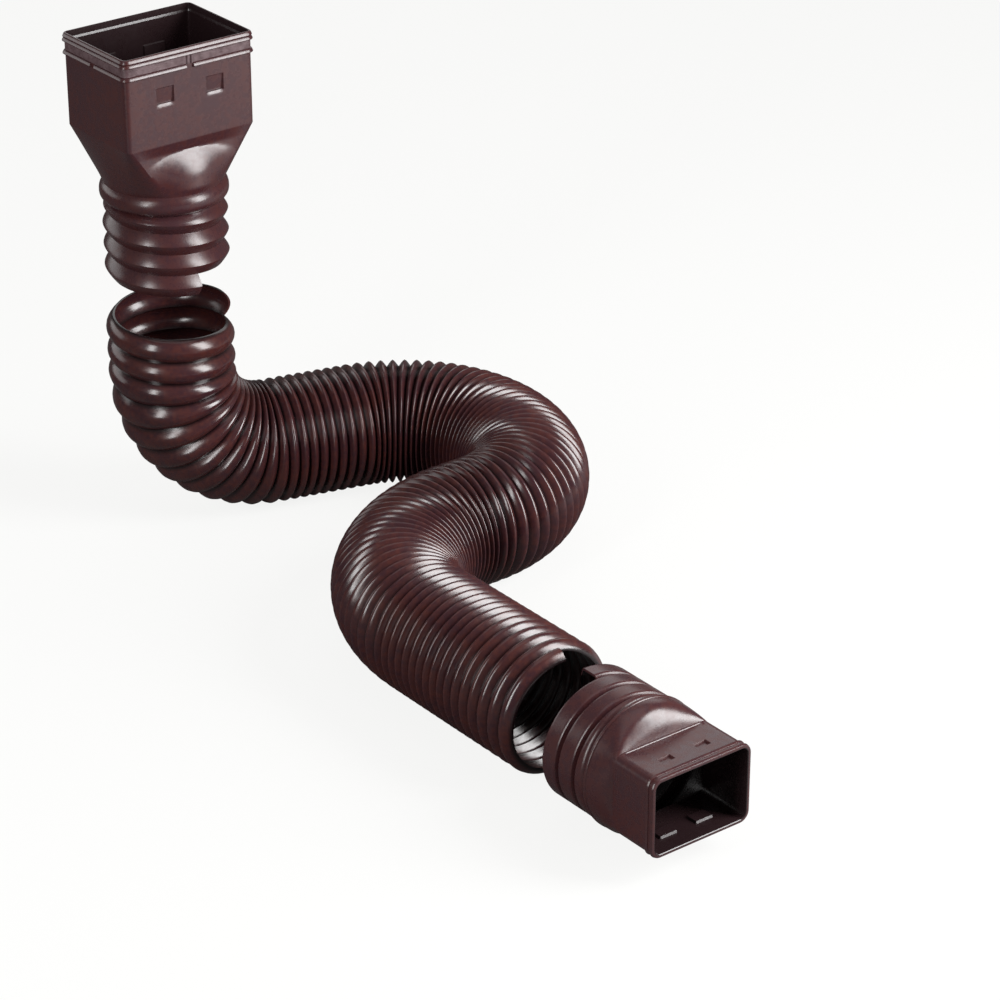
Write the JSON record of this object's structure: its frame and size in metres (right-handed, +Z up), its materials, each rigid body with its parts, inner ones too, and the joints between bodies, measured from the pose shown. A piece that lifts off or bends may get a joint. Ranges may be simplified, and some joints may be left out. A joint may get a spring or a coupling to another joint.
{
  "type": "flexible downspout extension",
  "caption": "Corrugated flexible hose bent in an S, with a rectangular downspout socket and a smaller rectangular outlet, both on screw-in ends.",
  "frame": {"origin": "on the ground, under the middle of the object's bounding box", "axes": "+Z up, along the drop and the socket; +X along the wall, the long side of the socket; -Y away from the wall, the way the outlet points"},
  "size_m": [0.3186, 0.674, 0.39],
  "materials": {
    "adapter_plastic": "moulded brown polypropylene, semi-gloss",
    "hose_plastic": "moulded brown polyethylene, glossy ridges"
  },
  "bodies": {
    "root": {"upper_adapter": "adapter_plastic", "corrugated_hose": "hose_plastic", "lower_adapter": "adapter_plastic"}
  },
  "joints": []
}
